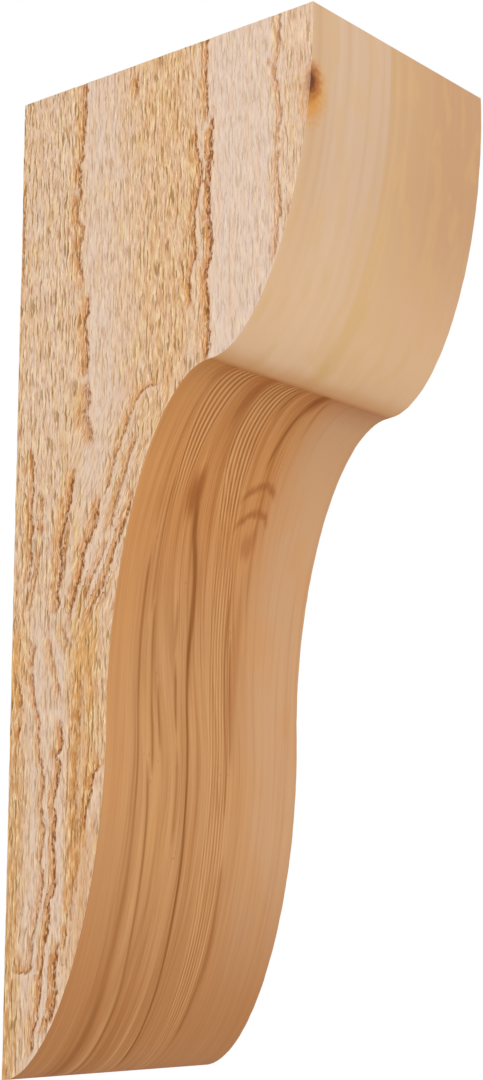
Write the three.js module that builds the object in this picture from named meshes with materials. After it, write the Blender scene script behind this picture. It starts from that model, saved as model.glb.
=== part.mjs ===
// Wooden corbel bracket: one block of cedar with its grain upright. The front is cut to a round
// head, a hollow cove and a round foot, and the cheeks, top and back are flat.
// Millimetres, +Z up, front towards -Y, wall plane at Y = 0, origin at the middle of the wall face.
import * as THREE from "three";

// Driving dimensions.
const HEIGHT = 508; // along the wall, twenty inches
const DEPTH = 198.5; // out from the wall, at the top
const WIDTH = 150; // across the front

// The front is cut in stretches of equal height and equal depth, listed from the top down.
const STRETCHES = [
  { name: "head", hollow: false },
  { name: "cove", hollow: true },
  { name: "foot", hollow: false },
];

// How far each curve follows its upright end and its level end before it turns, as a share of the
// stretch's height and depth. A quarter of an ellipse would have 0.55, so these turn more gently.
const UPRIGHT_SHARE = 0.517;
const LEVEL_SHARE = 0.497;
const FACETS_PER_STRETCH = 56;

const CEDAR = new THREE.MeshStandardMaterial({ color: 0xcfa77c, roughness: 0.8, metalness: 0 });

// A point on the straight line from the top front edge to the foot's tip, counted in stretches.
function station(count) {
  const share = count / STRETCHES.length;
  return { y: -DEPTH * (1 - share), z: HEIGHT * (0.5 - share) };
}

// Adds the curve from one station to the next. A round stretch leaves upright and arrives level.
// The hollow one leaves level, which makes a crease below the head, and arrives upright, which
// carries it smoothly into the foot.
function addStretch(outline, from, to, hollow) {
  const rise = (from.z - to.z) * UPRIGHT_SHARE;
  const run = (to.y - from.y) * LEVEL_SHARE;
  if (hollow) {
    outline.bezierCurveTo(from.y + run, from.z, to.y, to.z + rise, to.y, to.z);
  } else {
    outline.bezierCurveTo(from.y, from.z - rise, to.y - run, to.z, to.y, to.z);
  }
}

// The side outline, drawn with the shape's x along the part's Y and its y along the part's Z.
function sideOutline() {
  const top = station(0);
  const outline = new THREE.Shape();
  outline.moveTo(top.y, top.z);
  STRETCHES.forEach((stretch, index) => {
    addStretch(outline, station(index), station(index + 1), stretch.hollow);
  });
  outline.lineTo(0, top.z);
  outline.closePath();
  return outline;
}

// The block is the side outline carried straight across the width.
function corbelBlock() {
  const geometry = new THREE.ExtrudeGeometry(sideOutline(), {
    depth: WIDTH,
    bevelEnabled: false,
    curveSegments: FACETS_PER_STRETCH,
  });
  geometry.translate(0, 0, -WIDTH / 2);

  const block = new THREE.Mesh(geometry, CEDAR);
  block.name = "corbel_block";
  const alongY = new THREE.Vector3(0, 1, 0);
  const alongZ = new THREE.Vector3(0, 0, 1);
  const acrossX = new THREE.Vector3(1, 0, 0);
  const upright = new THREE.Matrix4().makeBasis(alongY, alongZ, acrossX);
  block.quaternion.setFromRotationMatrix(upright);
  return block;
}

const corbel = new THREE.Group();
corbel.add(corbelBlock());

export default corbel;
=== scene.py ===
"""Finish of a cedar corbel bracket: rough sawn cheeks with torn grain, and a smooth cut front."""

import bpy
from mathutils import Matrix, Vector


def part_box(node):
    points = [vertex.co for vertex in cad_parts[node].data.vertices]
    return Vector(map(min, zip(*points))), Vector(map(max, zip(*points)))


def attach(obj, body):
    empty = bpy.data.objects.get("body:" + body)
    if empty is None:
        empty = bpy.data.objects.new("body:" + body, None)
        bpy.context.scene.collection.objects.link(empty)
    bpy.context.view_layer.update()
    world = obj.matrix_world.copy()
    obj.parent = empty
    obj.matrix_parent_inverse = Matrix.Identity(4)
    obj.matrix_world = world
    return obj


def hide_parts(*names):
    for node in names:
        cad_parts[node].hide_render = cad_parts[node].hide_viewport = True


bl_info = {
    "name": "Cedar Corbel Bracket",
    "version": (1, 0, 0),
    "blender": (4, 5, 0),
    "location": "3D View > Sidebar > Corbel",
    "description": "Builds the sawn and smooth cut finish of a cedar corbel round its packed model",
    "category": "Add Mesh",
}

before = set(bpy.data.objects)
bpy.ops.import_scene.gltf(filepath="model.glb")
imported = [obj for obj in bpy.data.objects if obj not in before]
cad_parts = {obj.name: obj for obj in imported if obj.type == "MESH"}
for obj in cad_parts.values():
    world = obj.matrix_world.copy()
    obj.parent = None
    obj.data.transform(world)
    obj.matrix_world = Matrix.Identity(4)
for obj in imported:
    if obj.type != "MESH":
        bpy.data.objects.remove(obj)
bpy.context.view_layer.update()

import math
import random
from collections import namedtuple

import bpy
from bpy.props import FloatProperty, FloatVectorProperty, IntProperty, PointerProperty
from mathutils import Matrix, Vector
from mathutils.geometry import delaunay_2d_cdt, interpolate_bezier
from mathutils.kdtree import KDTree

NODE = "corbel_block"
BODY = "root"
MM = 0.001

BLOCK_LOW, BLOCK_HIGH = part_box(NODE)
WIDTH = BLOCK_HIGH.x - BLOCK_LOW.x
DEPTH = BLOCK_HIGH.y - BLOCK_LOW.y
HEIGHT = BLOCK_HIGH.z - BLOCK_LOW.z
STRETCHES = 3  # round head, hollow cove and round foot, of equal height and depth
HOLLOW = 1  # the cove's number from the top down, where the head is 0

# Which face of the block a mesh face belongs to.
LEFT_CHEEK, RIGHT_CHEEK, FRONT, TOP, BACK = range(5)
OFF_FRONT = -1.0  # distance along the front's curve, for a point that isn't on it

FEWEST_TRIANGLES, MOST_TRIANGLES = 100_000, 200_000
CURVE_POINTS = 400  # on each stretch's curve, before it is cut to even rows
LOW_SHINE = 0.2
LEAN = 0.42  # of the fibres that lean below the head, across for each millimetre down


def paint(red, green, blue):
    """Scene-linear colour from display values of 0 to 255."""
    def linear(value):
        share = value / 255
        return share / 12.92 if share <= 0.04045 else ((share + 0.055) / 1.055) ** 2.4
    return (linear(red), linear(green), linear(blue))


# Torn grain on the cheeks. Places are millimetres out from the wall and up from mid height, listed
# from the top down. Force is how deep and dark the line is torn, and wide is its width
# against a usual one. A line that runs through the block shows on the far cheek too.
TornLine = namedtuple("TornLine", "force wide through places")
TORN_LINES = (
    TornLine(0.62, 0.85, True, ((179, 262), (177, 235), (174, 226), (178, 205), (176, 190), (179, 182))),
    TornLine(0.6, 0.85, False, ((178, 186), (175, 172), (177, 155), (175, 140), (173, 124))),
    TornLine(0.85, 0.9, True, ((131.5, 262), (130, 240), (130.5, 222), (131, 208))),
    TornLine(1.0, 1.3, True, ((133.5, 213), (133, 195), (131.5, 175), (132, 155), (133, 140), (130, 128),
        (131, 110), (131, 82))),
    TornLine(0.85, 1.0, False, ((123, 211), (124, 196), (127, 184), (124, 170), (121.5, 158), (123, 142),
        (119, 128), (119.5, 112))),
    TornLine(0.85, 1.2, True, ((46, 262), (46, 238), (45, 222), (42.5, 203), (44, 186))),
    TornLine(0.75, 1.3, True, ((41, 194), (41, 180), (45, 172), (43, 160), (44, 150), (48, 140))),
    TornLine(0.85, 1.3, True, ((50, 138), (50.5, 127), (47.5, 120), (50, 108), (49, 90))),
    TornLine(0.7, 1.8, True, ((50, 92), (50, 84), (51, 76), (48.5, 70), (52, 64), (54, 57), (51, 50))),
    TornLine(0.75, 0.9, False, ((101, 77), (93, 78), (86, 75), (80, 66), (76, 57), (71, 46), (66, 33),
        (60, 25))),
    TornLine(0.95, 1.3, False, ((62, 30), (59, 22), (57, 14), (54, 8), (50, 0), (48, -10), (44, -20),
        (41, -28), (40, -36))),
    TornLine(0.7, 1.1, False, ((87, 56), (80, 46), (77, 35), (72, 26), (70, 17), (66, 6))),
    TornLine(0.75, 0.9, False, ((66, 6), (61, -5), (58, -10), (53, -18), (50, -28))),
    TornLine(0.85, 1.0, False, ((83, 28), (77, 11), (72, 3), (69, -5), (64, -15), (60, -22), (56, -28),
        (54, -38))),
    TornLine(0.5, 0.8, False, ((71, -16), (64, -26), (60, -34))),
    TornLine(0.95, 1.4, False, ((43, 46), (40, 30), (37, 20), (34, 9), (34, 0), (33.5, -10), (32, -22),
        (30, -32))),
    TornLine(0.6, 1.0, False, ((39, 18), (37.5, 2), (35.5, -8), (33, -20))),
    TornLine(0.65, 0.9, False, ((20, 36), (19.5, 8), (17, -5), (14, -16), (13, -24), (8, -28))),
    TornLine(0.85, 1.0, False, ((11, 60), (13, 38), (11.5, 26), (13, 18), (12, 8), (12.5, 0), (10, -13))),
    TornLine(0.6, 1.3, False, ((36, -32), (38, -43), (43, -50))),
    TornLine(0.6, 1.0, False, ((26, -37), (28, -49), (32, -60), (36, -75))),
    TornLine(0.75, 0.9, False, ((17, -40), (15, -55), (16, -66), (20, -82), (20.5, -96), (24, -110),
        (23.5, -126), (25, -137), (23.5, -150), (25, -162), (22, -176), (19, -188), (18, -201),
        (13, -204), (3, -203))),
    TornLine(0.9, 1.1, True, ((34.5, -80), (36.5, -96), (32.5, -101), (35.5, -105), (33, -117),
        (31.5, -124), (33, -132), (31.5, -143), (33, -152), (33, -166), (29, -171), (29, -182),
        (26, -196), (24.5, -214), (23, -224), (20.5, -232), (20, -245))),
    TornLine(0.9, 1.0, False, ((66, -106), (58, -111), (56, -121), (53, -130), (52, -141))),
    TornLine(0.5, 1.6, False, ((49, -60), (47, -90), (46, -120), (48, -148), (46, -164), (42, -184))),
    TornLine(1.0, 1.0, False, ((41.5, -180), (41, -186), (40, -195))),
    TornLine(1.0, 1.6, False, ((36, -188), (34, -205), (34.5, -218), (31, -226), (27, -234))),
    TornLine(0.8, 1.0, False, ((3, -56), (7.5, -69), (5, -79))),
    TornLine(0.9, 1.0, False, ((9, -79), (4, -94))),
    TornLine(0.8, 1.0, False, ((83.5, 253), (82.5, 243), (83, 234))),
    TornLine(0.7, 0.9, False, ((2, 212), (2.5, 199), (1.5, 190), (2, 170), (1.5, 148))),
)

# Dark growth lines on the cut front. Each place is in millimetres: across from the middle of the
# width, along the curve from the top edge, and half the line's width there.
Streak = namedtuple("Streak", "force places")
STREAKS = (
    Streak(0.85, ((-31, 262, 2.1), (-28, 275, 2.1), (-25, 288, 2.1), (-21.5, 298, 2.1), (-18, 312, 2.1),
        (-16.5, 330, 2), (-16.6, 350, 1.6), (-15.8, 370, 1.1), (-15, 388, 1), (-14.5, 404, 1),
        (-13.7, 425, 1), (-12.4, 450, 1), (-11.4, 475, 0.95), (-10.3, 496, 0.9), (-9.2, 515, 0.9),
        (-8.2, 534, 0.9), (-6.8, 566, 0.9))),
    Streak(0.6, ((-26, 350, 0.9), (-25, 362, 0.9), (-24.5, 371, 0.9), (-23.3, 390, 0.9))),
    Streak(0.4, ((-29, 318, 1.2), (-27.5, 336, 1.2), (-26.8, 350, 1.2))),
    Streak(0.35, ((-22.4, 395, 1.3), (-21.8, 415, 1.3), (-21.5, 445, 1.3))),
    Streak(0.4, ((-50, 258, 0.9), (-49.4, 285, 1), (-48.2, 308, 1.2), (-46.8, 332, 1.6))),
    Streak(0.3, ((-56.5, 202, 0.9), (-55.6, 245, 0.9), (-54.6, 290, 0.9))),
    Streak(0.5, ((-46, 322, 1.1), (-44.2, 345, 1.1), (-42.7, 364, 1.1), (-41.4, 388, 1.1),
        (-40.6, 412, 1))),
    Streak(0.55, ((-44.5, 402, 0.9), (-42.6, 422, 1), (-41.2, 445, 1), (-40, 468, 1.1), (-39, 486, 1.1),
        (-37.4, 502, 1.2), (-35.6, 520, 1.2), (-35.2, 540, 1.2), (-35.4, 585, 1.3))),
    Streak(0.45, ((-54, 300, 1), (-53.4, 340, 1), (-52.5, 362, 1), (-51.8, 384, 0.9), (-51.3, 405, 0.9),
        (-51, 432, 1.1), (-50.8, 458, 1.5), (-50.2, 490, 1.9), (-48.8, 522, 2.6), (-48, 548, 3),
        (-47.5, 585, 3))),
    Streak(0.4, ((-38, 362, 0.8), (-36.8, 380, 0.8), (-35.5, 400, 0.8))),
    Streak(0.5, ((10.5, 312, 0.9), (11.5, 330, 0.9), (12.5, 350, 0.9), (14, 368, 0.9), (15, 390, 0.9),
        (16, 410, 0.9), (17, 430, 0.9))),
    Streak(0.4, ((15.5, 335, 0.8), (17.5, 362, 0.8), (18.3, 380, 0.8), (19, 405, 0.8))),
    Streak(0.4, ((19.5, 448, 1), (20.6, 475, 1.5), (22.6, 500, 1.7), (21.5, 524, 1.5), (21.5, 550, 1))),
    Streak(0.4, ((9, 410, 0.8), (11, 420, 0.8), (12.5, 432, 0.8))),
    Streak(0.65, ((20, 188, 2), (18.7, 206, 1.7), (16.4, 222, 1.3), (14, 246, 0.9))),
    Streak(0.3, ((24, 190, 1), (28, 202, 0.8), (29.5, 214, 0.7), (30, 224, 0.7))),
    Streak(0.5, ((2.5, 188, 1), (1.5, 205, 1), (0.5, 220, 1))),
)

# Bundles of close growth ridges between two side lines, given from the fold down as distance
# along the curve and place across.
Bundle = namedtuple("Bundle", "count force begin end side far_side")
BUNDLES = (
    Bundle(5, 1.0, 193, 276, ((193, -53.5), (215, -53), (235, -51.5), (262, -49)),
           ((193, -36), (215, -36.5), (240, -38), (264, -39.5))),
    Bundle(6, 1.0, 193, 292, ((193, -19), (220, -19.5), (245, -17.5), (268, -12), (292, -7)),
           ((193, -1), (220, -2), (245, 0), (268, 3), (300, 8))),
    Bundle(7, 0.5, 300, 556, ((296, -5), (330, -2), (370, 1), (430, 2), (490, 5), (556, 7)),
           ((296, 10), (330, 14), (370, 17), (430, 18), (490, 20), (556, 20))),
)

# Soft dark blots on the front, in millimetres like the growth lines.
Blot = namedtuple("Blot", "across along wide long force")
BLOTS = (
    Blot(-32.5, 266, 6.0, 14, 0.9),
    Blot(-25, 207, 4.5, 24, 0.75),
    Blot(-57, 196, 4.0, 12, 0.5),
    Blot(19.5, 197, 5.0, 13, 1.0),
    Blot(17, 286, 6.5, 8, 0.5),
    Blot(19.5, 350, 4.5, 50, 0.4),
)

# Two hoops where the growth lines turn over, right of the bundles: where each one peaks.
HOOP_PEAKS = (253.5, 268.5)
HOOP_MIDDLE = 20.5

# The knot on the left front arris, in millimetres.
KNOT_MIDDLE = Vector((-75.0, -197.5, 212.0))
KNOT_REACH = Vector((6.5, 4.5, 8.0))

# Millimetres along the front's curve, from the top edge.
FOLD = 191.5
TIP = 577

HEART_X, HEART_Y = 190, -130  # of the growth rings on the top, in millimetres


class Wire:
    """One socket of a node tree, on which sums are written as Python expressions."""

    def __init__(self, bench, socket):
        self.bench = bench
        self.socket = socket

    def __add__(self, other):
        return maths("ADD", self, other)

    __radd__ = __add__

    def __sub__(self, other):
        return maths("SUBTRACT", self, other)

    def __rsub__(self, other):
        return maths("SUBTRACT", other, self)

    def __mul__(self, other):
        return maths("MULTIPLY", self, other)

    __rmul__ = __mul__

    def __truediv__(self, other):
        return maths("DIVIDE", self, other)

    def __rtruediv__(self, other):
        return maths("DIVIDE", other, self)

    def __neg__(self):
        return self * -1

    def __abs__(self):
        return maths("ABSOLUTE", self)

    def __pow__(self, other):
        return maths("POWER", self, other)


class Bench:
    """Adds nodes to one node tree and joins them up."""

    def __init__(self, tree):
        self.tree = tree

    def feed(self, socket, value):
        if isinstance(value, Wire):
            self.tree.links.new(value.socket, socket)
        elif socket.type == "RGBA" and len(value) == 3:
            socket.default_value = (*value, 1.0)
        else:
            socket.default_value = value

    def node(self, kind, settings=None, sockets=None):
        """A node of any kind: its settings are set first, then the values or links of its sockets."""
        made = self.tree.nodes.new(kind)
        for name, value in (settings or {}).items():
            if name == "stops":
                self.set_stops(made.color_ramp, value)
            elif name == "course":
                self.set_course(made.mapping, value)
            else:
                setattr(made, name, value)
        for key, value in (sockets or {}).items():
            self.feed(made.inputs[key], value)
        return made

    def wire(self, kind, settings=None, sockets=None, output=0):
        return Wire(self, self.node(kind, settings, sockets).outputs[output])

    @staticmethod
    def set_stops(ramp, stops):
        """Grey stops, as pairs of position and level, in rising order."""
        while len(ramp.elements) < len(stops):
            ramp.elements.new(1.0)
        for element, (position, level) in zip(ramp.elements, stops):
            element.position = position
            element.color = (level, level, level, 1.0)

    @staticmethod
    def set_course(mapping, places):
        """Points of a smooth curve, as pairs from 0 to 1, in rising order."""
        points = mapping.curves[0].points
        while len(points) < len(places):
            points.new(0.5, 0.5)
        for point, place in zip(points, places):
            point.location = place
        mapping.extend = "HORIZONTAL"
        mapping.update()


def bench_of(values):
    """The bench of the first wire among the values."""
    return next(value.bench for value in values if isinstance(value, Wire))


def maths(operation, *values):
    return bench_of(values).wire("ShaderNodeMath", {"operation": operation}, dict(enumerate(values)))


def clamp(value):
    return value.bench.wire("ShaderNodeClamp", None, {0: value})


def fade(value, start, end):
    """Smoothly from 0 where value is start to 1 where it is end."""
    if start > end:
        return 1 - fade(value, end, start)
    return value.bench.wire("ShaderNodeMapRange", {"interpolation_type": "SMOOTHSTEP"},
                            {"Value": value, "From Min": start, "From Max": end})


def bell(value, reach):
    """1 where value is 0, falling smoothly to both sides over the reach."""
    share = value / reach
    return maths("EXPONENT", share * share * -1)


def blend(share, first, second):
    return first + (second - first) * share


def vector(x=0.0, y=0.0, z=0.0):
    return bench_of((x, y, z)).wire("ShaderNodeCombineXYZ", None, {0: x, 1: y, 2: z})


def split(place):
    made = place.bench.node("ShaderNodeSeparateXYZ", None, {0: place})
    return [Wire(place.bench, socket) for socket in made.outputs]


def vector_maths(operation, *values, output=0):
    return bench_of(values).wire(
        "ShaderNodeVectorMath", {"operation": operation}, dict(enumerate(values)), output)


def noise(x, y, z, detail=2.0, roughness=0.5):
    place = vector(x, y, z)
    return place.bench.wire("ShaderNodeTexNoise", None, {
        "Vector": place, "Scale": 1.0, "Detail": detail, "Roughness": roughness})


def wobble(size, x, y, z):
    """Soft noise to both sides of 0."""
    return (noise(x, y, z) - 0.5) * size


def mix(share, first, second):
    """Colour mix of first and second. The node itself holds the share between 0 and 1."""
    return bench_of((share, first, second)).wire(
        "ShaderNodeMix", {"data_type": "RGBA"}, {0: share, 6: first, 7: second}, 2)


def sawn_grain(y, z):
    """Coarse and fine torn fibres of a sawn face, the same for its relief and its colour. They
    stand upright, and lean below the head where the torn lines do."""
    turned = fade(y, -26, -48) * fade(z, 92, 64) * fade(z, -62, -38)
    upright = y + wobble(3, y / 9, z / 30, 1.0)
    upright = upright + wobble(2.2, y / 3, z / 5.5, 19.0)
    leaning = upright + z * LEAN

    def fibres(wide, long, part):
        standing = noise(upright / wide, z / long, part, roughness=0.6)
        return blend(turned, standing, noise(leaning / wide, z / long, part, roughness=0.6))

    return fibres(1.6, 13, 3.0), fibres(0.85, 6.5, 5.0)


def torn_grain(y, z, reach, distance):
    """Dark spots, ragged lower side and smooth rim of a torn line; the rim takes a painted highlight on
    the cheek. Reach is the gap to it against its width, below zero on the upper side, and distance is
    the same without a sign."""
    kinks = wobble(3.4, y / 4, z / 7, 8.0)
    splinters = wobble(3.4, y / 1.3, z / 4.2, 7.0)
    reach = reach + kinks + splinters
    close = fade(distance, 4.8, 3)
    spots = fade(noise(y / 1.4, z / 3, 11.0), 0.4, 0.56) * 0.75 + 0.25
    core = fade(abs(reach - 0.2), 1.3, 0.4) * spots * close
    lower = bell(reach - 1.6, 2.4) * close
    # A narrow band along the upper side, where the cheek paints a highlight.
    rim = bell(reach + 1.8, 1.2) * close
    return core, lower, rim


# Meshes.

def add_attribute(mesh, name, values, kind="FLOAT", domain="POINT"):
    """Stores one number or vector for each point or face of a mesh."""
    attribute = mesh.attributes.new(name, kind, domain)
    if kind == "FLOAT_VECTOR":
        attribute.data.foreach_set("vector", [number for value in values for number in value])
    else:
        attribute.data.foreach_set("value", values)


def front_outline(settings):
    """Points down the front, one for each mesh row, as (distance along, y, z)."""
    rise = HEIGHT / STRETCHES
    run = DEPTH / STRETCHES
    upright = rise * settings.upright_share
    level = run * settings.level_share
    course = []
    for index in range(STRETCHES):
        start = Vector((-DEPTH + run * index, HEIGHT / 2 - rise * index))
        end = start + Vector((run, -rise))
        if index == HOLLOW:
            handles = start + Vector((level, 0)), end + Vector((0, upright))
        else:
            handles = start - Vector((0, upright)), end - Vector((level, 0))
        course += interpolate_bezier(start, *handles, end, CURVE_POINTS)[1 if index else 0:]
    along = [0.0]
    for before, after in zip(course, course[1:]):
        along.append(along[-1] + (after - before).length)
    count = STRETCHES * round(along[-1] / STRETCHES / settings.front_row)
    points = []
    step = 0
    for index in range(count + 1):
        wanted = along[-1] * index / count
        while step < len(along) - 2 and along[step + 1] < wanted:
            step += 1
        share = (wanted - along[step]) / (along[step + 1] - along[step])
        place = course[step].lerp(course[step + 1], share)
        points.append((wanted, place.x, place.y))
    return points


def steps(start, end, pitch):
    """Even steps from start to end, both included, about one pitch apart."""
    count = max(1, round(abs(end - start) / pitch))
    return [start + (end - start) * index / count for index in range(count + 1)]


def front_columns(settings):
    """Places across the front: close together where the growth lines are fine."""
    fine_from, fine_to = -60 * MM, 25 * MM
    coarse = settings.front_column * 3
    half = WIDTH / 2
    left = steps(-half, fine_from, coarse)
    middle = steps(fine_from, fine_to, settings.front_column)
    right = steps(fine_to, half, coarse)
    return left + middle[1:] + right[1:]


def fill_flat(rim, pitch_across, pitch_up):
    """Fills a flat outline, given anticlockwise, with triangles on a grid. Returns the inner
    points and the triangles, whose numbers count the rim first and then the inner points."""
    bead_pitch, rim_gap = 0.5, 0.55  # against the grid's pitch
    inside_only, merge_reach = 1, 1e-6
    scaled = [Vector((u / pitch_across, v / pitch_up)) for u, v in rim]
    beads = []
    for before, after in zip(scaled, scaled[1:] + scaled[:1]):
        parts = max(1, math.ceil((after - before).length / bead_pitch))
        beads += [before.lerp(after, part / parts) for part in range(parts)]
    tree = KDTree(len(beads))
    for index, bead in enumerate(beads):
        tree.insert((bead.x, bead.y, 0), index)
    tree.balance()
    low = [min(point[axis] for point in scaled) for axis in (0, 1)]
    high = [max(point[axis] for point in scaled) for axis in (0, 1)]
    edges = list(zip(scaled, scaled[1:] + scaled[:1]))
    inner = []
    for row in steps(low[1], high[1], 1.0)[1:-1]:
        crossings = sorted(
            a.x + (b.x - a.x) * (row - a.y) / (b.y - a.y)
            for a, b in edges if (a.y > row) != (b.y > row))
        for column in steps(low[0], high[0], 1.0)[1:-1]:
            inside = sum(1 for crossing in crossings if crossing < column) % 2 == 1
            if inside and tree.find((column, row, 0))[2] > rim_gap:
                inner.append(Vector((column, row)))
    result = delaunay_2d_cdt(scaled + inner, [], [list(range(len(scaled)))], inside_only, merge_reach)
    numbers = [sources[0] for sources in result[3]]
    triangles = [[numbers[corner] for corner in face] for face in result[2]]
    return [(point.x * pitch_across, point.y * pitch_up) for point in inner], triangles


class BlockMesh:
    """Collects the block's vertices and faces."""

    def __init__(self):
        self.places = []
        self.cheek_side = []
        self.along = []
        self.faces = []
        self.finishes = []

    def vertex(self, place, cheek_side=0.0, along=OFF_FRONT):
        self.places.append(place)
        self.cheek_side.append(cheek_side)
        self.along.append(along)
        return len(self.places) - 1

    def face(self, corners, finish, flip=False):
        self.faces.append(corners[::-1] if flip else corners)
        self.finishes.append(finish)

    def flat(self, rim, outline, pitches, finish, place, cheek_side=0.0, flip=False):
        """A flat face inside a rim of vertex numbers, whose outline gives their flat places."""
        inner, triangles = fill_flat(outline, *pitches)
        numbers = rim + [self.vertex(place(*point), cheek_side) for point in inner]
        for triangle in triangles:
            self.face([numbers[corner] for corner in triangle], finish, flip)


def block_mesh(settings):
    """The whole block as one closed mesh, with sharp arrises and a fine grid on every face."""
    half = WIDTH / 2
    outline = front_outline(settings)
    columns = front_columns(settings)
    block = BlockMesh()

    # The front, row by row from the top edge to the foot's tip.
    rows = []
    for along, y, z in outline:
        row = []
        for x in columns:
            side = -1.0 if x == columns[0] else 1.0 if x == columns[-1] else 0.0
            row.append(block.vertex(Vector((x, y, z)), side, along))
        rows.append(row)
    for upper, lower in zip(rows, rows[1:]):
        for index in range(len(columns) - 1):
            corners = [upper[index], lower[index], lower[index + 1], upper[index + 1]]
            block.face(corners, FRONT)

    # The upright back edges from the foot's tip up, and the top edges from the wall outwards.
    back_heights = steps(-HEIGHT / 2, HEIGHT / 2, settings.back_pitch)[1:]
    top_reaches = steps(0.0, -DEPTH, settings.top_pitch)[1:-1]
    back_rims = {}
    top_rims = {}
    for side, x in ((-1.0, -half), (1.0, half)):
        back_rims[side] = [block.vertex(Vector((x, 0.0, z)), side) for z in back_heights]
        top_rims[side] = [block.vertex(Vector((x, y, HEIGHT / 2)), side) for y in top_reaches]
    wall_edge = [block.vertex(Vector((x, 0.0, HEIGHT / 2))) for x in columns[1:-1]]

    front_side = [(y, z) for along, y, z in outline]
    back_side = [(0.0, z) for z in back_heights]
    top_side = [(y, HEIGHT / 2) for y in top_reaches]
    cheek_outline = front_side + back_side + top_side
    for side, finish, spread in ((-1.0, LEFT_CHEEK, 1.0), (1.0, RIGHT_CHEEK, settings.far_spread)):
        rim = [row[0 if side < 0 else -1] for row in rows] + back_rims[side] + top_rims[side]
        pitches = (settings.cheek_column * spread, settings.cheek_row * spread)
        block.flat(rim, cheek_outline, pitches, finish,
                   lambda y, z, x=side * half: Vector((x, y, z)), side, flip=side < 0)

    top_rim = rows[0] + top_rims[1.0][::-1] + [back_rims[1.0][-1]] + wall_edge[::-1]
    top_rim += [back_rims[-1.0][-1]] + top_rims[-1.0]
    flat_top = [tuple(block.places[number].xy) for number in top_rim]
    block.flat(top_rim, flat_top, (settings.top_pitch, settings.top_pitch), TOP,
               lambda x, y: Vector((x, y, HEIGHT / 2)))

    back_rim = rows[-1] + back_rims[1.0] + wall_edge[::-1] + back_rims[-1.0][::-1]
    flat_back = [tuple(block.places[number].xz) for number in back_rim]
    block.flat(back_rim, flat_back, (settings.back_pitch, settings.back_pitch), BACK,
               lambda x, z: Vector((x, 0.0, z)), flip=True)
    return finished_mesh(block, outline)


def finished_mesh(block, outline):
    """Turns the collected faces into a mesh with its attributes and sharp arrises."""
    mesh = bpy.data.meshes.new("corbel")
    mesh.from_pydata(block.places, [], block.faces)
    mesh.update()
    mesh.polygons.foreach_set("use_smooth", [True] * len(mesh.polygons))
    add_attribute(mesh, "finish", block.finishes, "INT", "FACE")
    add_attribute(mesh, "cheek_side", block.cheek_side)
    add_attribute(mesh, "along", block.along)

    # The front's outward direction, across its curve.
    turns = {OFF_FRONT: Vector()}
    for index, (distance, y, z) in enumerate(outline):
        before = outline[max(index - 1, 0)]
        after = outline[min(index + 1, len(outline) - 1)]
        turns[distance] = Vector((0.0, after[2] - before[2], before[1] - after[1])).normalized()
    outward = [turns[distance] for distance in block.along]
    add_attribute(mesh, "front_outward", outward, "FLOAT_VECTOR")

    # An edge between two faces of the block is sharp.
    kinds = {}
    for polygon in mesh.polygons:
        for key in polygon.edge_keys:
            kinds.setdefault(key, set()).add(block.finishes[polygon.index])
    for edge in mesh.edges:
        edge.use_edge_sharp = len(kinds[edge.key]) > 1
    return mesh


# Lines that the relief follows.

def smooth_course(places, pitch):
    """Points about a pitch apart on a smooth line through the places."""
    points = [Vector(place) for place in places]
    ends = [points[0]] + points + [points[-1]]
    course = [points[0]]
    for index in range(1, len(ends) - 2):
        before, start, end, after = ends[index - 1:index + 3]
        lead = start + (end - before) / 6
        trail = end - (after - start) / 6
        count = max(2, round((end - start).length / pitch) + 1)
        course += interpolate_bezier(start, lead, trail, end, count)[1:]
    return course


class LineMesh:
    """Collects lines on the block's surface as loose edges, which know their force, their half
    width and the way to their far side."""

    def __init__(self, facing):
        self.facing = Vector(facing)
        self.places = []
        self.edges = []
        self.forces = []
        self.widths = []
        self.sides = []

    def line(self, places, force, widths, taper):
        """Adds a line whose force rises from 0 at both ends, over the taper's number of points."""
        first = len(self.places)
        last = len(places) - 1
        for index, place in enumerate(places):
            heading = places[min(index + 1, last)] - places[max(index - 1, 0)]
            self.places.append(place)
            self.forces.append(force * min(1.0, min(index, last - index) / taper))
            self.widths.append(widths[index])
            self.sides.append(heading.cross(self.facing).normalized())
        self.edges += [(first + index, first + index + 1) for index in range(last)]

    def made_object(self, name):
        mesh = bpy.data.meshes.new(name)
        mesh.from_pydata(self.places, self.edges, [])
        add_attribute(mesh, "force", self.forces)
        add_attribute(mesh, "wide", self.widths)
        add_attribute(mesh, "side", self.sides, "FLOAT_VECTOR")
        made = bpy.data.objects.new(name, mesh)
        bpy.context.scene.collection.objects.link(made)
        return made


def torn_line_guide(settings):
    """Torn lines on both cheeks, with small sideways steps. Their far side is towards the wall."""
    draw = random.Random(settings.seed)
    far_shift = 9  # how far a line moves, at most, on its way through the block
    guide = LineMesh(facing=(-1, 0, 0))
    half = WIDTH / 2
    for line in TORN_LINES:
        for side in (-1, 1) if line.through else (-1,):
            shift = draw.uniform(-far_shift, far_shift) if side == 1 else 0
            course = []
            for from_wall, up in smooth_course(line.places, pitch=1.7):
                from_wall += shift + draw.uniform(-1, 1) * settings.torn_sway / MM
                course.append(Vector((side * half, -from_wall * MM, up * MM)))
            guide.line(course, line.force, [line.wide] * len(course), taper=4)
    return guide.made_object("torn_line_guide")


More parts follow.
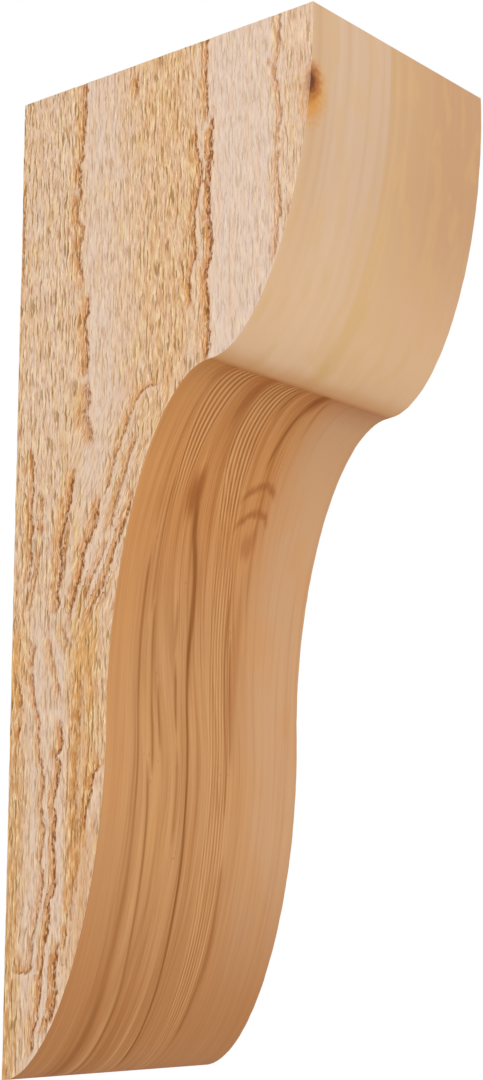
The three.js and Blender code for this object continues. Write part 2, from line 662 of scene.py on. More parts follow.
def streak_guide(settings):
    """Growth lines on the front. Their far side is to the right."""
    outline = front_outline(settings)
    guide = LineMesh(facing=(0, 1, 0))

    def on_front(across, along):
        wanted = min(max(along * MM, 0.0), outline[-1][0])
        for before, after in zip(outline, outline[1:]):
            if after[0] >= wanted:
                break
        share = (wanted - before[0]) / (after[0] - before[0])
        y = before[1] + (after[1] - before[1]) * share
        z = before[2] + (after[2] - before[2]) * share
        return Vector((across * MM, y, z))

    for streak in STREAKS:
        course = smooth_course(streak.places, pitch=2.5)
        places = [on_front(place.x, place.y) for place in course]
        guide.line(places, streak.force, [place.z for place in course], taper=5)
    return guide.made_object("streak_guide")


# The relief tree.

def relief_tree(materials):
    """Cuts the torn lines, the fibres and the growth lines into the block, and sets its finishes."""
    tree = bpy.data.node_groups.new("corbel_relief", "GeometryNodeTree")
    bench = Bench(tree)
    for name, kind in (("Geometry", "Geometry"), ("Torn Lines", "Object"), ("Streaks", "Object"),
                       ("Fibre Depth", "Float"), ("Torn Depth", "Float"), ("Streak Depth", "Float")):
        tree.interface.new_socket(name=name, in_out="INPUT", socket_type="NodeSocket" + kind)
    tree.interface.new_socket(name="Geometry", in_out="OUTPUT", socket_type="NodeSocketGeometry")
    entry = tree.nodes.new("NodeGroupInput")
    given = {socket.name: Wire(bench, socket) for socket in entry.outputs if socket.name}
    place = bench.wire("GeometryNodeInputPosition")

    def attribute(name, kind="FLOAT"):
        return bench.wire("GeometryNodeInputNamedAttribute", {"data_type": kind}, {"Name": name})

    def stored(geometry, name, value):
        return bench.wire("GeometryNodeStoreNamedAttribute", {"data_type": "FLOAT", "domain": "POINT"},
                          {"Geometry": geometry, "Name": name, "Value": value})

    def nearest_line(guide):
        """Gap in millimetres to a guide's nearest line, below zero on its near side, and the
        line's force and half width."""
        lines = bench.wire("GeometryNodeObjectInfo", None, {"Object": guide}, 4)
        near = bench.node("GeometryNodeProximity", {"target_element": "EDGES"}, {"Geometry": lines})
        nearest_place = Wire(bench, near.outputs[0])
        distance = Wire(bench, near.outputs[1]) / MM
        index = bench.wire("GeometryNodeSampleNearest", None, {"Geometry": lines})

        def sampled(name, kind="FLOAT"):
            return bench.wire("GeometryNodeSampleIndex", {"data_type": kind},
                              {"Geometry": lines, "Value": attribute(name, kind), "Index": index})

        away = vector_maths("SUBTRACT", place, nearest_place)
        facing = vector_maths("DOT_PRODUCT", away, sampled("side", "FLOAT_VECTOR"), output=1)
        return distance * maths("SIGN", facing), sampled("force"), sampled("wide")

    torn_gap, torn_force, torn_wide = nearest_line(given["Torn Lines"])
    streak_gap, streak_force, streak_wide = nearest_line(given["Streaks"])
    torn_reach = torn_gap / torn_wide
    streak_reach = streak_gap / streak_wide
    geometry = given["Geometry"]
    for name, value in (("torn_reach", torn_reach), ("torn_distance", abs(torn_reach)),
                        ("torn_force", torn_force), ("streak_reach", streak_reach),
                        ("streak_distance", abs(streak_gap)), ("streak_force", streak_force)):
        geometry = stored(geometry, name, value)

    x, y, z = [part / MM for part in split(place)]
    coarse, fine = sawn_grain(y, z)
    core, lower, rim = torn_grain(y, z, torn_reach, abs(torn_reach))
    step = fade(torn_gap, -0.8, 0.8) * bell(torn_gap, 6)
    torn = (core * 0.4 + lower * 0.3 + step * 0.3) * torn_force
    cheek_sink = fade(coarse, 0.35, 0.68) * given["Fibre Depth"] + torn * given["Torn Depth"]
    sideways = vector(-attribute("cheek_side") * cheek_sink)
    above_tip = fade(z, BLOCK_LOW.z / MM, BLOCK_LOW.z / MM + 3)
    streak = bell(streak_reach, 0.9) * streak_force * above_tip
    outward = attribute("front_outward", "FLOAT_VECTOR")
    inwards = bench.wire("ShaderNodeVectorMath", {"operation": "SCALE"},
                         {0: outward, "Scale": -streak * given["Streak Depth"]})
    offset = vector_maths("ADD", sideways, inwards)
    geometry = bench.wire("GeometryNodeSetPosition", None, {"Geometry": geometry, "Offset": offset})
    geometry = bench.wire("GeometryNodeRealizeInstances", None, {"Geometry": geometry})
    for finish, material in materials.items():
        chosen = bench.wire("FunctionNodeCompare", {"data_type": "INT", "operation": "EQUAL"},
                            {2: attribute("finish", "INT"), 3: finish})
        geometry = bench.wire("GeometryNodeSetMaterial", None,
                              {"Geometry": geometry, "Selection": chosen, "Material": material})
    leave = tree.nodes.new("NodeGroupOutput")
    bench.feed(leave.inputs["Geometry"], geometry)
    return tree


def set_inputs(modifier, values):
    """Sets Geometry Nodes inputs, given by name, through their sockets' identifiers."""
    identifiers = {item.name: item.identifier for item in modifier.node_group.interface.items_tree
                   if item.item_type == "SOCKET" and item.in_out == "INPUT"}
    for name, value in values.items():
        modifier[identifiers[name]] = value


# Finishes.

def new_material(name):
    """An empty material with its Principled shader, and the bench to build on."""
    material = bpy.data.materials.new(name)
    material.use_nodes = True
    bench = Bench(material.node_tree)
    shader = material.node_tree.nodes["Principled BSDF"]
    return material, bench, shader


def object_place(bench):
    """The place on the block in millimetres, as three wires."""
    place = bench.wire("ShaderNodeTexCoord", None, None, 3)
    return [part / MM for part in split(place)]


def surface_value(bench, name):
    """A number that the mesh stores under a name."""
    return bench.wire("ShaderNodeAttribute", {"attribute_name": name}, None, 2)


def set_surface(shader, wood, height, roughness, strength, depth):
    """Colour, roughness and bump of a wood finish. The bump's depth is in millimetres."""
    bench = wood.bench
    bench.feed(shader.inputs["Base Color"], wood)
    shader.inputs["Roughness"].default_value = roughness
    bump = bench.wire("ShaderNodeBump", None,
                      {"Strength": strength, "Distance": depth * MM, "Height": height})
    bench.feed(shader.inputs["Normal"], bump)


def knot(wood, colours, x, y, z, shown):
    """The small dark knot that the left front arris cuts through, and its glow below."""
    wavy = wobble(0.8, x / 2.5, z / 2.5, y / 2.5)
    across = (x - KNOT_MIDDLE.x) / KNOT_REACH.x
    out = (y - KNOT_MIDDLE.y) / KNOT_REACH.y
    up = (z - KNOT_MIDDLE.z) / KNOT_REACH.z
    ring = (across * across + out * out + up * up) ** 0.5 + wavy
    below = (z - KNOT_MIDDLE.z + 6) / 15
    glow = (across * across * 0.3 + out * out * 0.3 + below * below) ** 0.5 + wavy
    wood = mix(fade(glow, 1.5, 0.5) * (shown * 0.8), wood, colours.knot_edge)
    wood = mix(fade(ring, 1.7, 0.9) * (shown * 0.75), wood, colours.crease)
    return mix(fade(ring, 1.1, 0.4) * (shown * 0.9), wood, colours.knot_core)


def cheek_bands(from_wall, stops):
    """How golden the wood is, from 0 pale to 1 golden, by distance from the wall."""
    reach = DEPTH / MM
    rising = sorted((place / reach, level) for place, level in stops)
    return from_wall.bench.wire("ShaderNodeValToRGB", {"stops": rising}, {0: from_wall / reach})


UPPER_BANDS = ((197, 0.25), (181, 0.3), (174, 0.05), (138, 0.0), (131, 0.15), (122, 0.4),
               (112, 0.6), (92, 0.55), (75, 0.3), (62, 0.15), (50, 0.1), (44, 0.4), (34, 0.3),
               (10, 0.25), (0, 0.5))
LOWER_BANDS = ((66, 0.5), (60, 0.5), (54, 1.0), (46, 1.0), (40, 0.45), (36, 0.1), (29, 0.2),
               (24, 0.2), (18, 0.05), (13, 0.3), (8, 0.8), (0, 0.9))


def sawn_cheek(colours):
    """Rough sawn wood: pale and golden bands, upright fibres, and dark torn lines."""
    material, bench, shader = new_material("rough_sawn_cheek")
    x, y, z = object_place(bench)
    from_wall = -y
    drift = wobble(12, from_wall / 16, z / 70, 1.0)
    upper_part = cheek_bands(from_wall + drift, UPPER_BANDS)
    lower_part = cheek_bands(from_wall + drift, LOWER_BANDS)
    gold = blend(fade(z + drift * 2, 0, -50), upper_part, lower_part)
    low_tear = z * 0.25 + 87
    before_tear = fade(from_wall - low_tear, -1, 2) * fade(z, -104, -110)
    gold = blend(before_tear, gold, 0.3)
    force = surface_value(bench, "torn_force")
    reach = surface_value(bench, "torn_reach")
    distance = surface_value(bench, "torn_distance")
    core, lower, rim = torn_grain(y, z, reach, distance)
    coarse, fine = sawn_grain(y, z)
    broad = noise(y / 3.2, z / 34, 9.0)
    blush = noise(y / 5, z / 45, 15.0)

    # Ground colour, from pale pink to golden.
    torn_out = fade(reach, -1, 2) * fade(distance, 9, 3) * force
    near_wall = fade(from_wall, 46, 34) * fade(z, -60, -10)
    contrast = maths("MINIMUM", gold, 0.62) * 1.1 + near_wall * 0.3 + torn_out * 0.45 + 0.45
    gold = clamp(gold + (broad - 0.5) * contrast + torn_out * 0.3)
    wood = mix(gold, colours.pale, colours.golden)
    wood = mix(fade(blush, 0.52, 0.7) * 0.5, wood, colours.blush)
    straw = fade(noise(y / 4.5, z / 22, 33.0), 0.5, 0.66)
    wood = mix(straw * (bell(gold - 0.5, 0.35) * 0.5 + 0.05), wood, colours.straw)
    wood = mix(before_tear * 0.17, wood, colours.torn_edge)
    wall_edge = fade(from_wall, 14, 5) * fade(z, -50, -110)
    wood = mix(wall_edge * 0.3, wood, colours.wall_edge)

    # Fibres, with darker dashes between them, each lit along its upper side by a painted highlight.
    # The gaps between fibres are darker wood and partly painted shade, and the raised fibres get a
    # painted highlight, partly paler wood.
    tone = coarse * 0.45 + fine * 0.55 - 0.5
    wood = mix(tone * 6.5 * contrast, wood, colours.fibre_shade)
    wood = mix(tone * -5.5 * contrast, wood, colours.fibre_highlight)
    wavy = y + wobble(2.6, y / 2.6, z / 8, 29.0)
    amber = fade(noise(wavy / 1.4, z / 16, 17.0), 0.54, 0.66)
    deep = bell(from_wall + drift - 49, 4) * fade(z, -45, -60)
    wood = mix(amber * gold * 0.5 + deep * 0.4, wood, colours.amber)
    lit = fade(noise((wavy + 1.1) / 1.2, z / 13, 13.0), 0.57, 0.65)
    wood = mix(lit * (contrast - 0.2) * 0.5, wood, colours.fibre_highlight)
    dashes = fade(noise(wavy / 1.2, z / 13, 13.0), 0.565, 0.64)
    wood = mix(dashes * (contrast - 0.2) * 0.85, wood, colours.fleck)

    # Torn lines.
    # Painted highlight along the upper side of each torn line.
    wood = mix(rim * force * 0.6, wood, colours.torn_highlight)
    patchy = fade(fine, 0.44, 0.55) * 0.75 + 0.25
    wood = mix(lower * force * patchy * 0.9, wood, colours.torn_edge)
    dark = clamp(force * 1.6 - 0.45)
    wood = mix(core * dark, wood, colours.torn_core)
    wood = knot(wood, colours, x, y, z, shown=0.4)
    height = tone * contrast * -1.6 - dashes * 0.3 - core * force * 0.5 + rim * force * 0.3
    shader.inputs["Specular IOR Level"].default_value = LOW_SHINE
    set_surface(shader, wood, height, roughness=0.85, strength=0.8, depth=0.5)
    return material


def side_line(along, places):
    """Place across the front, on a smooth line through places of (along, across)."""
    long, wide = 600, 200  # the curve node holds places from 0 to 1
    course = [(down / long, across / wide + 0.5) for down, across in places]
    share = along.bench.wire("ShaderNodeFloatCurve", {"course": course}, {"Value": along / long})
    return share * wide - wide / 2


def growth_ridges(x, along):
    """Height of the close growth ridges, from -1 to 1, and 0 where there are none."""
    height = 0
    for bundle in BUNDLES:
        side = side_line(along, bundle.side)
        far_side = side_line(along, bundle.far_side)
        sway = wobble(1.2, x / 9, along / 40, 21.0)
        share = (x + sway - side) / (far_side - side)
        wave = maths("COSINE", share * (bundle.count * 2 * math.pi))
        shown = fade(share, -0.04, 0.05) * fade(share, 1.04, 0.95)
        shown = shown * fade(along, bundle.begin - 1, bundle.begin + 2)
        shown = shown * fade(along + share * 12, bundle.end + 14, bundle.end - 26)
        uneven = fade(noise(x / 1.8, along / 30, 23.0), 0.28, 0.6) * 0.7 + 0.3
        height = height + wave * shown * uneven * bundle.force
    return height


def cut_front(colours):
    """Smooth cut wood: a pale head, a darker cove and foot, growth lines and a knot."""
    material, bench, shader = new_material("smooth_cut_front")
    x, y, z = object_place(bench)
    along = surface_value(bench, "along") / MM
    reach = surface_value(bench, "streak_reach")
    force = surface_value(bench, "streak_force")
    force = force * fade(surface_value(bench, "streak_distance"), 8, 5)

    # Grain that leans across the front on its way down.
    lean = fade(along, 225, 420) * fade(x, -62, -22) * fade(x, 62, 24) * 20
    grain = x - lean
    sweep = wobble(3, grain / 12, along / 130, 2.0)
    broad = noise((grain + sweep) / 4.5, along / 170, 4.0)
    lines = noise((grain + sweep) / 1.1, along / 75, 6.0, detail=3.0, roughness=0.6)
    cloud = noise(x / 22, along / 40, 12.0)

    # The head above the fold: pinkish on the left, tan on the right, with soft yellow patches.
    bands = noise(x / 6, along / 280, 14.0, detail=0.6)
    head = mix(fade(x, -50, -74) * 0.6, colours.head_pale, colours.head_tan)
    tan = mix(fade(x, -2, 52), colours.head_tan, colours.head_rose)
    head = mix(fade(x + sweep, -11, -6.5), head, tan)
    left_part = fade(x, 24, -10)
    head = mix(fade(bands, 0.5, 0.7) * (left_part * 0.2 + 0.05), head, colours.head_light)
    head = mix(fade(bands, 0.5, 0.3) * (left_part * 0.15 + 0.1), head, colours.head_shade)
    # Warmer wood low on the head's front, and lighter there as painted light where the head turns down.
    head = mix(fade(along, 60, 185) * 0.75, head, colours.head_warm_and_lit)
    yellow = fade(abs(x + 3 + sweep), 9, 2) * fade(along, 30, 165) * 0.6
    yellow = yellow + fade(noise(x / 11, along / 30, 27.0), 0.48, 0.64) * 0.3
    head = mix(yellow, head, colours.head_yellow)
    head = mix(fade(along + cloud * 10, 180, 197) * 0.7, head, colours.cove_orange)

    # The cove and the foot below it.
    cove = mix(fade(along, 250, 350), colours.cove_wood, colours.foot_wood)
    cove = mix(fade(x + sweep, 14, 50), cove, colours.cove_rose)
    side = fade(x, -54, -64) * fade(along, 460, 260)
    cove = mix(side * 0.6 + fade(cloud, 0.45, 0.65) * 0.3, cove, colours.cove_orange)
    cove = mix(fade(along, 430, 545) * 0.9, cove, colours.foot_brown)
    below = fade(along, FOLD - 1, FOLD + 2)
    wood = mix(below, head, cove)

    # Growth lines between the drawn ones.
    busy = below * fade(x, 38, 14) * (fade(x, -66, -54) * 0.8 + 0.2)
    foot = fade(along, 290, 340)
    shade = (broad - 0.5) * (busy * 0.6 + below * 0.4)
    shade = shade + (lines - 0.5) * (busy * (1.1 - foot * 0.4) + below * 0.35)
    wood = mix(shade * 1.8, wood, colours.line_brown)
    wood = mix(shade * -1.4, wood, colours.line_light)
    ridges = growth_ridges(x, along)
    # Lighter crests and darker troughs of the close growth ridges: grain, and partly painted highlight
    # and painted shade on their relief.
    wood = mix(ridges * -0.9, wood, colours.line_brown)
    wood = mix(ridges * 0.8, wood, colours.ridge_highlight)

    # Hoops, blots and drawn lines.
    off_middle = x - HOOP_MIDDLE
    bow = off_middle * off_middle * (fade(off_middle, -2, 2) * 0.03 + 0.035)
    hoop_place = along - bow + wobble(6, x / 3, along / 9, 25.0)
    hoops = fade(abs(x - 16), 15, 9)
    for peak in HOOP_PEAKS:
        mark = fade(abs(hoop_place - peak), 4.2, 0.3) * hoops
        wood = mix(mark * (lines * 0.6 + 0.4), wood, colours.blot)
    for blot in BLOTS:
        wide = (x - blot.across + (lines - 0.5) * 9) / blot.wide
        long = (along - blot.along + (broad - 0.5) * 20) / blot.long
        spread = (wide * wide + long * long) ** 0.5
        mark = fade(spread, 1.3, 0.3) * below
        wood = mix(mark * blot.force, wood, colours.blot)
    force = force * below
    soft = fade(abs(reach), 3.0, 0.4) * force
    wood = mix(soft * 0.45, wood, colours.line_brown)
    uneven = fade(lines, 0.2, 0.6) * 0.5 + 0.6
    sharp = fade(abs(reach), 1.25, 0.25) * clamp(force * uneven)
    wood = mix(sharp * 0.9, wood, colours.streak_dark)

    # Painted shade under the head, in the fold between head and cove and at the foot's tip.
    shade_under_head = fade(along, 214, 192) * below
    wood = mix(shade_under_head * (fade(x, 15, 50) * 0.22 + 0.2), wood, colours.crease)
    # Painted shade along the fold.
    crease = fade(abs(along - FOLD), 4, 0)
    wood = mix(crease * 0.25, wood, colours.crease)
    # Painted shade at the foot's tip, where it curls under.
    wood = mix(fade(along, TIP - 17, TIP) * 0.5, wood, colours.crease)
    wood = knot(wood, colours, x, y, z, shown=1.0)
    height = ridges + lines * (0.1 + busy * 0.8) - sharp * 0.8
    shader.inputs["Specular IOR Level"].default_value = LOW_SHINE
    set_surface(shader, wood, height, roughness=0.7, strength=0.6, depth=0.3)
    return material


def end_grain(colours):
    """Sawn end grain on top: growth rings round a heart outside the block, grit and saw marks."""
    material, bench, shader = new_material("sawn_end_grain")
    x, y, z = object_place(bench)
    across = x - HEART_X
    out = y - HEART_Y
    ring = (across * across + out * out) ** 0.5
    ring = ring + wobble(10, x / 30, y / 30, 1.0)
    band = noise(ring / 1.3, 0.0, 3.0)
    broad = noise(ring / 9, 0.0, 5.0, detail=1.0)
    grit = noise(x / 0.5, y / 0.5, 7.0)
    saw = noise(x / 40, y / 1.2, 9.0)
    wood = mix(fade(broad, 0.35, 0.65), colours.pale, colours.golden)
    wood = mix(0.35, wood, colours.cove_wood)
    wood = mix(fade(band, 0.45, 0.7) * 0.55, wood, colours.line_brown)
    wood = mix(fade(grit, 0.5, 0.75) * 0.4, wood, colours.streak_dark)
    wood = mix(fade(saw, 0.5, 0.7) * 0.25, wood, colours.fibre_shade)
    height = grit * -0.6 + saw * 0.5 - band * 0.3
    set_surface(shader, wood, height, roughness=0.9, strength=0.5, depth=0.4)
    return material


def sawn_back(colours):
    """The plain sawn face that bears on the wall."""
    material, bench, shader = new_material("sawn_back")
    x, y, z = object_place(bench)
    sweep = wobble(8, x / 25, z / 120, 1.0)
    grain = x + sweep
    broad = noise(grain / 6, z / 160, 3.0)
    lines = noise(grain / 1.2, z / 60, 5.0, detail=3.0)
    fine = noise(x / 0.5, z / 5, 7.0)
    saw = noise(x / 60, z / 1.6, 9.0)
    wood = mix(fade(broad, 0.25, 0.75) * 0.6 + 0.15, colours.pale, colours.golden)
    wood = mix(fade(lines, 0.5, 0.72) * 0.45, wood, colours.line_brown)
    wood = mix(fade(fine, 0.5, 0.7) * 0.35, wood, colours.fibre_shade)
    wood = mix(fade(saw, 0.5, 0.68) * 0.2, wood, colours.fibre_shade)
    height = fine * -0.5 + saw * 0.6
    set_surface(shader, wood, height, roughness=0.85, strength=0.5, depth=0.4)
    return material


# Settings.

def number_setting(name, description, default, unit="NONE", subtype="NONE"):
    return FloatProperty(name=name, description=description, default=default, unit=unit,
                         subtype=subtype, precision=5)


def length_setting(name, description, default):
    return number_setting(name, description, default, unit="LENGTH")


def colour_setting(name, description, *display):
    return FloatVectorProperty(name=name, description=description, subtype="COLOR",
                               default=paint(*display), min=0.0, max=1.0)


class CorbelBlockSettings(bpy.types.PropertyGroup):
    """Form and relief of the block."""
    upright_share: number_setting(
        "Upright share", "How far a curve follows its upright end, as a share of its height", 0.517)
    level_share: number_setting(
        "Level share", "How far a curve follows its level end, as a share of its depth", 0.497)
    front_row: length_setting("Front row", "Mesh pitch along the front's curve", 3.4 * MM)
    front_column: length_setting("Front column", "Mesh pitch across the fine growth lines", 0.5 * MM)
    cheek_column: length_setting("Cheek column", "Mesh pitch across the cheek's fibres", 0.75 * MM)
    cheek_row: length_setting("Cheek row", "Mesh pitch along the cheek's fibres", 2.4 * MM)
    far_spread: number_setting("Far spread", "How much coarser the far cheek's mesh is", 1.8)
    back_pitch: length_setting("Back pitch", "Mesh pitch on the back", 5 * MM)
    top_pitch: length_setting("Top pitch", "Mesh pitch on the top", 2.5 * MM)
    fibre_depth: length_setting("Fibre depth", "Depth between the sawn fibres", 0.3 * MM)
    torn_depth: length_setting("Torn depth", "Depth of a torn line", 0.6 * MM)
    torn_sway: length_setting("Torn sway", "Sideways steps of a torn line", 0.45 * MM)
    streak_depth: length_setting("Streak depth", "Depth of a growth line on the front", 0.15 * MM)
    seed: IntProperty(name="Seed", description="Seed of the torn lines' small steps", default=7)


class CorbelColourSettings(bpy.types.PropertyGroup):
    """Colours of the wood."""
    pale: colour_setting("Pale wood", "Pale bands of the cheek", 217, 194, 178)
    golden: colour_setting("Golden wood", "Golden bands of the cheek", 212, 157, 92)
    blush: colour_setting("Blush", "Pinkish wood of the cheek", 220, 184, 156)
    straw: colour_setting("Straw", "Yellowish patches of the cheek", 219, 184, 126)
    amber: colour_setting("Amber", "Orange fibres in the golden bands", 202, 146, 84)
    wall_edge: colour_setting("Wall edge", "Low part of the cheek beside the wall", 190, 148, 106)
    # Fibre shade is darker wood in gaps and saw marks, and on the cheek partly painted shade in the gaps.
    # Fibre highlight is a painted highlight on raised fibres and along dashes, partly paler wood.
    fibre_shade: colour_setting("Fibre shade", "Gaps between sawn fibres", 184, 132, 82)
    fibre_highlight: colour_setting("Fibre light", "Raised sawn fibres", 242, 214, 170)
    fleck: colour_setting("Fleck", "Short dark flecks of the cheek", 148, 106, 56)
    # Torn highlight: painted highlight along the upper side of a torn line.
    torn_highlight: colour_setting("Torn rim", "Smooth pale wood above a torn line", 230, 204, 180)
    torn_edge: colour_setting("Torn edge", "Orange wood below a torn line", 200, 134, 74)
    torn_core: colour_setting("Torn core", "Dark middle of a torn line", 140, 82, 32)
    head_pale: colour_setting("Head pale", "Left part of the head's front", 204, 171, 141)
    head_light: colour_setting("Head light", "Pale streaks down the head's front", 214, 184, 156)
    # Warmer wood low on the head, also painted light where it turns down.
    head_warm_and_lit: colour_setting("Head warm", "Warmer wood low on the head's front", 224, 184, 144)
    head_tan: colour_setting("Head tan", "Right part of the head's front", 200, 160, 118)
    head_shade: colour_setting("Head shade", "Darker streaks down the head's front", 190, 148, 106)
    head_rose: colour_setting("Head rose", "Right edge of the head's front", 194, 150, 111)
    head_yellow: colour_setting("Head yellow", "Yellow patches of the head's front", 208, 168, 114)
    cove_wood: colour_setting("Cove wood", "Middle of the cove and foot", 192, 129, 72)
    foot_wood: colour_setting("Foot wood", "Middle of the foot", 190, 137, 88)
    cove_rose: colour_setting("Cove rose", "Right part of the cove and foot", 198, 152, 111)
    cove_orange: colour_setting("Cove orange", "Left edge of the cove and foot", 199, 140, 83)
    foot_brown: colour_setting("Foot brown", "Lower end of the foot", 174, 115, 66)
    line_brown: colour_setting("Line brown", "Soft growth lines", 156, 94, 38)
    # Ridge highlight: paler crests of the close growth ridges, partly a painted highlight.
    ridge_highlight: colour_setting("Ridge light", "Close growth ridges in the cove", 226, 172, 116)
    line_light: colour_setting("Line light", "Pale wood between growth lines", 214, 162, 108)
    streak_dark: colour_setting("Streak dark", "Dark growth lines", 132, 74, 18)
    blot: colour_setting("Blot", "Soft dark blots", 156, 90, 38)
    # Crease: painted shade under the head, in the fold and at the foot's tip, and the dark ring of the
    # knot.
    crease: colour_setting("Crease", "Fold between head and cove", 160, 90, 40)
    knot_core: colour_setting("Knot core", "Middle of the knot", 96, 48, 26)
    knot_edge: colour_setting("Knot edge", "Halo of the knot", 206, 138, 52)


class CorbelStageSettings(bpy.types.PropertyGroup):
    """Floor, light and camera."""
    floor_drop: length_setting("Floor drop", "Floor below the foot of the corbel", 0.65)
    floor_radius: length_setting("Floor radius", "Radius of the round floor", 9.0)
    floor_colour: colour_setting("Floor colour", "Pale floor", 236, 236, 234)
    surround: number_setting("Surround light", "Strength of the even light all round", 0.83)
    key_power: number_setting("Key light", "Power of the large light at the upper left", 20, "POWER")
    fill_power: number_setting("Fill light", "Power of the weak light at the right", 1, "POWER")
    bounce_power: number_setting("Bounce light", "Power of the soft light from below", 5, "POWER")
    camera_place: FloatVectorProperty(
        name="Camera place", description="Where the camera stands", subtype="TRANSLATION",
        unit="LENGTH", precision=5, default=(-0.79878, -0.7496, -0.19928))
    camera_turn: number_setting(
        "Camera turn", "Look direction, anticlockwise from +X, from above", math.radians(37.1116),
        subtype="ANGLE")
    camera_pitch: number_setting(
        "Camera pitch", "Look direction above the level", math.radians(14.4352), subtype="ANGLE")
    camera_roll: number_setting(
        "Camera roll", "Turn of the camera about its look direction", math.radians(-0.8555),
        subtype="ANGLE")
    camera_lens: number_setting("Focal length", "Focal length on a 36 mm long side", 67.792, "CAMERA")
    camera_shift: FloatVectorProperty(
        name="Lens shift", description="Offset of a cropped picture's middle from the lens axis",
        size=2, precision=4, default=(-0.0774, -0.0972))


# Operators.

class CORBEL_OT_stage(bpy.types.Operator):
    """Make the floor, the soft lights and the camera"""
    bl_idname = "corbel.stage"
    bl_label = "Set up stage"

    def execute(self, context):
        settings = context.scene.corbel_stage
        context.scene.view_settings.view_transform = "Standard"
        self.make_floor(context, settings)
        self.make_world(context, settings)
        self.make_light(context, "key_light", (-1.6, -1.5, 0.9), 1.0, settings.key_power)
        self.make_light(context, "fill_light", (1.8, -1.2, 0.3), 1.6, settings.fill_power)
        self.make_light(context, "bounce_light", (-0.3, -1.7, -0.9), 1.8, settings.bounce_power)
        self.make_camera(context, settings)
        return {"FINISHED"}

    def make_floor(self, context, settings):
        sides = 96
        level = BLOCK_LOW.z - settings.floor_drop
        rim = [Vector((math.cos(turn), math.sin(turn), 0)) * settings.floor_radius
               for turn in (2 * math.pi * index / sides for index in range(sides))]
        mesh = bpy.data.meshes.new("floor")
        mesh.from_pydata([point + Vector((0, 0, level)) for point in rim], [], [list(range(sides))])
        material, bench, shader = new_material("pale_floor")
        bench.feed(shader.inputs["Base Color"], tuple(settings.floor_colour))
        shader.inputs["Roughness"].default_value = 0.9
        mesh.materials.append(material)
        floor = bpy.data.objects.new("floor", mesh)
        context.scene.collection.objects.link(floor)

    def make_world(self, context, settings):
        world = bpy.data.worlds.new("studio")
        world.use_nodes = True
        world.node_tree.nodes.clear()
        bench = Bench(world.node_tree)
        white = (1.0, 1.0, 1.0)
        lit = bench.wire("ShaderNodeBackground", None, {"Color": white, "Strength": settings.surround})
        seen = bench.wire("ShaderNodeBackground", None, {"Color": white, "Strength": 1.0})
        to_camera = bench.wire("ShaderNodeLightPath")
        both = bench.wire("ShaderNodeMixShader", None, {0: to_camera, 1: lit, 2: seen})
        output = bench.node("ShaderNodeOutputWorld")
        world.node_tree.links.new(both.socket, output.inputs["Surface"])
        context.scene.world = world

    def make_light(self, context, name, place, size, power):
        lamp = bpy.data.lights.new(name, "AREA")
        lamp.size = size
        lamp.energy = power
        light = bpy.data.objects.new(name, lamp)
        light.location = place
        light.rotation_euler = Vector(place).to_track_quat("Z", "Y").to_euler()
        light.visible_camera = False
        context.scene.collection.objects.link(light)

    def make_camera(self, context, settings):
        lens = bpy.data.cameras.new("camera")
        lens.sensor_width = 36
        lens.lens = settings.camera_lens
        lens.shift_x, lens.shift_y = settings.camera_shift
        lens.clip_start = 0.05
        lens.clip_end = 100
        camera = bpy.data.objects.new("camera", lens)
        turn = Matrix.Rotation(settings.camera_turn - math.pi / 2, 4, "Z")
        pitch = Matrix.Rotation(math.pi / 2 + settings.camera_pitch, 4, "X")
        roll = Matrix.Rotation(settings.camera_roll, 4, "Z")
        camera.matrix_world = Matrix.Translation(settings.camera_place) @ turn @ pitch @ roll
        context.scene.collection.objects.link(camera)
        context.scene.camera = camera


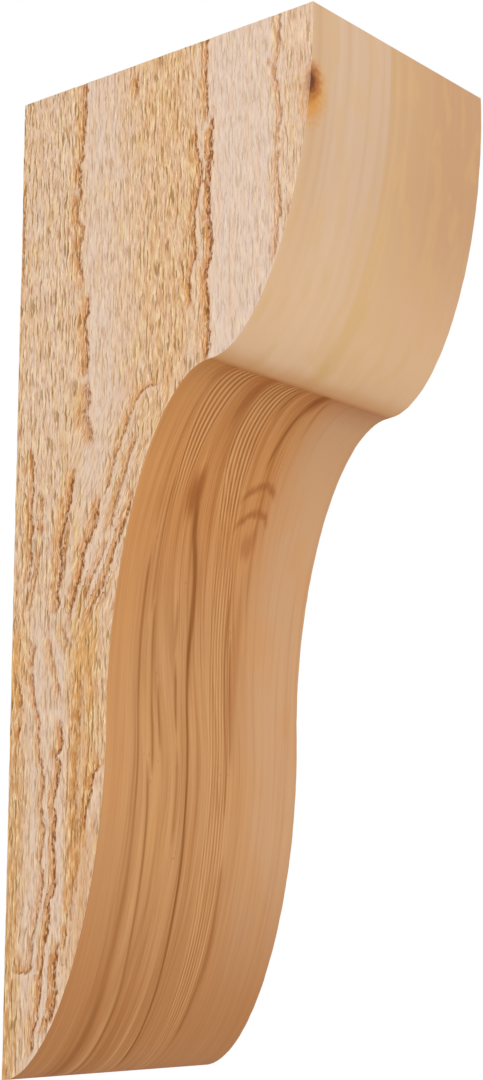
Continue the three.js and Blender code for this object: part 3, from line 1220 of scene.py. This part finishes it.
class CORBEL_OT_block(bpy.types.Operator):
    """Make the corbel block with its relief and finishes"""
    bl_idname = "corbel.block"
    bl_label = "Build corbel block"

    def execute(self, context):
        settings = context.scene.corbel_block
        colours = context.scene.corbel_colours
        cheek = sawn_cheek(colours)
        materials = {
            LEFT_CHEEK: cheek,
            RIGHT_CHEEK: cheek,
            FRONT: cut_front(colours),
            TOP: end_grain(colours),
            BACK: sawn_back(colours),
        }
        block = bpy.data.objects.new("corbel", block_mesh(settings))
        context.scene.collection.objects.link(block)
        guides = torn_line_guide(settings), streak_guide(settings)
        relief = block.modifiers.new("relief", "NODES")
        relief.node_group = relief_tree(materials)
        set_inputs(relief, {
            "Torn Lines": guides[0],
            "Streaks": guides[1],
            "Fibre Depth": settings.fibre_depth,
            "Torn Depth": settings.torn_depth,
            "Streak Depth": settings.streak_depth,
        })
        depsgraph = context.evaluated_depsgraph_get()
        carved = bpy.data.meshes.new_from_object(
            block.evaluated_get(depsgraph), preserve_all_data_layers=True, depsgraph=depsgraph)
        block.modifiers.remove(relief)
        block.data = carved
        for guide in guides:
            bpy.data.objects.remove(guide)
        for name in ("cheek_side", "front_outward"):
            carved.attributes.remove(carved.attributes[name])
        triangles = sum(len(polygon.vertices) - 2 for polygon in carved.polygons)
        if not FEWEST_TRIANGLES < triangles < MOST_TRIANGLES:
            raise RuntimeError(f"the block came out with {triangles} triangles")
        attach(block, BODY)
        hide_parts(NODE)
        return {"FINISHED"}


class CORBEL_PT_panel(bpy.types.Panel):
    """Sizes, colours and steps of the corbel"""
    bl_label = "Corbel"
    bl_idname = "CORBEL_PT_panel"
    bl_space_type = "VIEW_3D"
    bl_region_type = "UI"
    bl_category = "Corbel"

    def draw(self, context):
        for operator in OPERATORS:
            self.layout.operator(operator.bl_idname)
        for group in GROUPS:
            settings = getattr(context.scene, group)
            box = self.layout.box()
            for name in settings.__annotations__:
                box.prop(settings, name)


GROUPS = {
    "corbel_block": CorbelBlockSettings,
    "corbel_colours": CorbelColourSettings,
    "corbel_stage": CorbelStageSettings,
}
OPERATORS = (CORBEL_OT_stage, CORBEL_OT_block)
CLASSES = (*GROUPS.values(), *OPERATORS, CORBEL_PT_panel)


def register():
    for item in CLASSES:
        bpy.utils.register_class(item)
    for name, group in GROUPS.items():
        setattr(bpy.types.Scene, name, PointerProperty(type=group))


def unregister():
    for name in GROUPS:
        delattr(bpy.types.Scene, name)
    for item in reversed(CLASSES):
        bpy.utils.unregister_class(item)


def main():
    register()
    bpy.ops.corbel.stage()
    bpy.ops.corbel.block()


if __name__ == "__main__":
    main()
